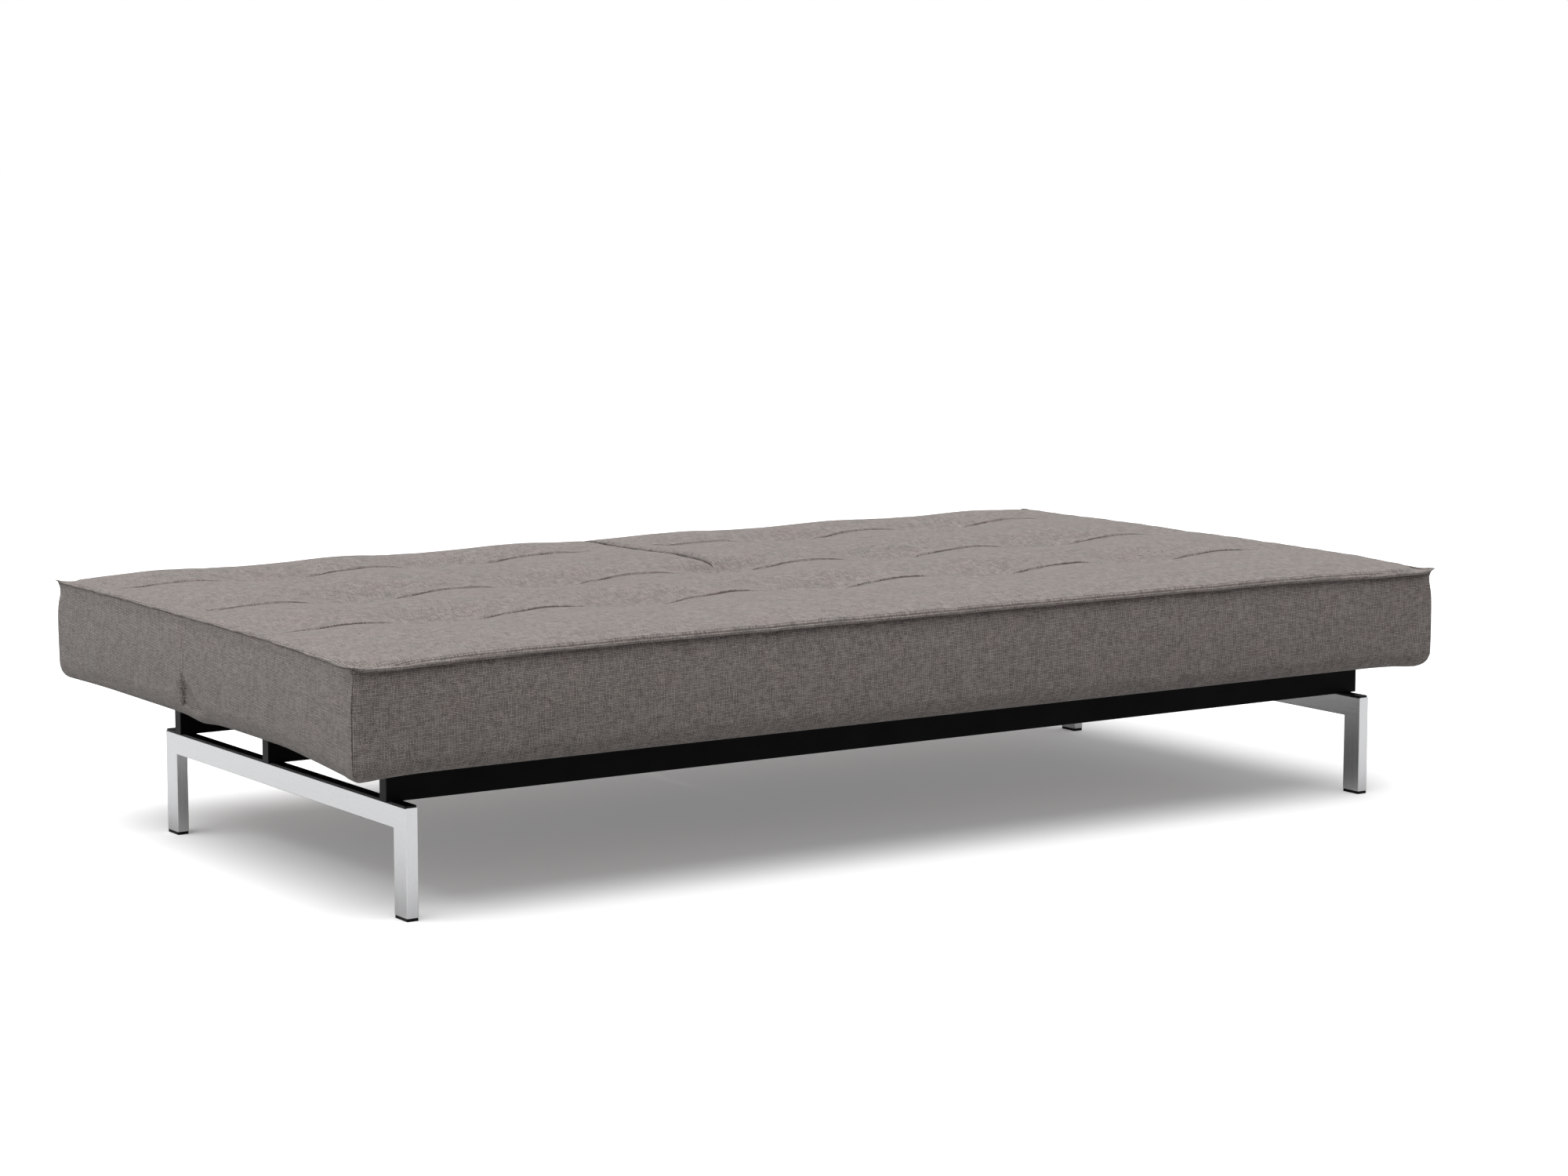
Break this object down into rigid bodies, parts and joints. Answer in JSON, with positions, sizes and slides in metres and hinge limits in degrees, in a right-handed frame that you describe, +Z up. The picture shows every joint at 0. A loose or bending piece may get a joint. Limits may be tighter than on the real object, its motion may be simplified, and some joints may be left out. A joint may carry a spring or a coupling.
{
  "type": "sofa bed",
  "caption": "Low split-back sofa bed lying flat: one quilted mattress whose two rear halves fold up on their own, on long black rails and two U-shaped steel tube leg frames.",
  "frame": {"origin": "on the floor under the middle of the mattress", "axes": "+X along the length to the right seen from the front, -Y towards the front edge of the seat, +Z up"},
  "size_m": [2.1, 1.15, 0.404],
  "materials": {
    "stainless_tube": "satin brushed",
    "black_steel": "satin powder coat",
    "black_plastic": "fine moulded grain",
    "zinc_plate": "black painted pressed steel",
    "hinge_steel": "bare stamped steel",
    "zinc_fasteners": "bright zinc plated",
    "plywood": "clear lacquered birch ply",
    "rubber": "matte",
    "taupe_fabric": "coarse melange plain weave"
  },
  "bodies": {
    "base": {"base_cross_tube_inner_left": "black_steel", "base_cross_tube_inner_right": "black_steel", "base_cross_tube_outer_left": "black_steel", "base_cross_tube_outer_right": "black_steel", "base_rail_front": "black_steel", "base_rail_middle": "black_steel", "base_rail_rear": "black_steel", "foot_cap_front_left": "black_plastic", "foot_cap_front_right": "black_plastic", "foot_cap_rear_left": "black_plastic", "foot_cap_rear_right": "black_plastic", "hinge_pawl_pins": "zinc_fasteners", "hinge_pawl_springs": "zinc_fasteners", "hinge_pivot_bolts": "zinc_fasteners", "hinge_seat_bolts": "zinc_fasteners", "hinge_seat_plate_inner_left": "zinc_plate", "hinge_seat_plate_inner_right": "zinc_plate", "hinge_seat_plate_outer_left": "zinc_plate", "hinge_seat_plate_outer_right": "zinc_plate", "leg_frame_left": "stainless_tube", "leg_frame_right": "stainless_tube", "leg_strip_left": "black_plastic", "leg_strip_right": "black_plastic", "rail_bolts": "zinc_fasteners", "rail_end_plugs": "black_plastic", "rail_nuts": "zinc_fasteners", "rear_rail_buffers": "rubber", "seat_cushion": "taupe_fabric", "seat_slat_screws": "zinc_fasteners", "seat_slats": "plywood"},
    "back_left": {"back_cushion_left": "taupe_fabric", "back_frame_front_tube_left": "black_steel", "back_frame_inner_tube_left": "black_steel", "back_frame_outer_tube_left": "black_steel", "back_frame_rear_tube_left": "black_steel", "back_slat_screws_left": "zinc_fasteners", "back_slats_left": "plywood", "hinge_back_bolts_left": "zinc_fasteners", "hinge_back_plate_inner_left": "zinc_plate", "hinge_back_plate_outer_left": "zinc_plate", "hinge_ratchet_inner_left": "hinge_steel", "hinge_ratchet_outer_left": "hinge_steel"},
    "back_right": {"back_cushion_right": "taupe_fabric", "back_frame_front_tube_right": "black_steel", "back_frame_inner_tube_right": "black_steel", "back_frame_outer_tube_right": "black_steel", "back_frame_rear_tube_right": "black_steel", "back_slat_screws_right": "zinc_fasteners", "back_slats_right": "plywood", "hinge_back_bolts_right": "zinc_fasteners", "hinge_back_plate_inner_right": "zinc_plate", "hinge_back_plate_outer_right": "zinc_plate", "hinge_ratchet_inner_right": "hinge_steel", "hinge_ratchet_outer_right": "hinge_steel"},
    "pawl_inner_left": {"hinge_pawl_inner_left": "hinge_steel"},
    "pawl_inner_right": {"hinge_pawl_inner_right": "hinge_steel"},
    "pawl_outer_left": {"hinge_pawl_outer_left": "hinge_steel"},
    "pawl_outer_right": {"hinge_pawl_outer_right": "hinge_steel"}
  },
  "joints": [
    {"name": "back_left_fold", "type": "hinge", "parent": "base", "child": "back_left", "pos_m": [-0.47, 0.03, 0.35], "axis": [1, 0, 0], "range_deg": [0, 75]},
    {"name": "back_right_fold", "type": "hinge", "parent": "base", "child": "back_right", "pos_m": [0.47, 0.03, 0.35], "axis": [1, 0, 0], "range_deg": [0, 75]},
    {"name": "pawl_inner_left_lift", "type": "hinge", "parent": "base", "child": "pawl_inner_left", "pos_m": [-0.0512, -0.014, 0.314], "axis": [-1, 0, 0], "range_deg": [0, 10], "stiffness_Nm_per_rad": 0.5, "springref_deg": -22.92},
    {"name": "pawl_inner_right_lift", "type": "hinge", "parent": "base", "child": "pawl_inner_right", "pos_m": [0.0512, -0.014, 0.314], "axis": [-1, 0, 0], "range_deg": [0, 10], "stiffness_Nm_per_rad": 0.5, "springref_deg": -22.92},
    {"name": "pawl_outer_left_lift", "type": "hinge", "parent": "base", "child": "pawl_outer_left", "pos_m": [-0.867, -0.014, 0.314], "axis": [-1, 0, 0], "range_deg": [0, 10], "stiffness_Nm_per_rad": 0.5, "springref_deg": -22.92},
    {"name": "pawl_outer_right_lift", "type": "hinge", "parent": "base", "child": "pawl_outer_right", "pos_m": [0.867, -0.014, 0.314], "axis": [-1, 0, 0], "range_deg": [0, 10], "stiffness_Nm_per_rad": 0.5, "springref_deg": -22.92}
  ]
}
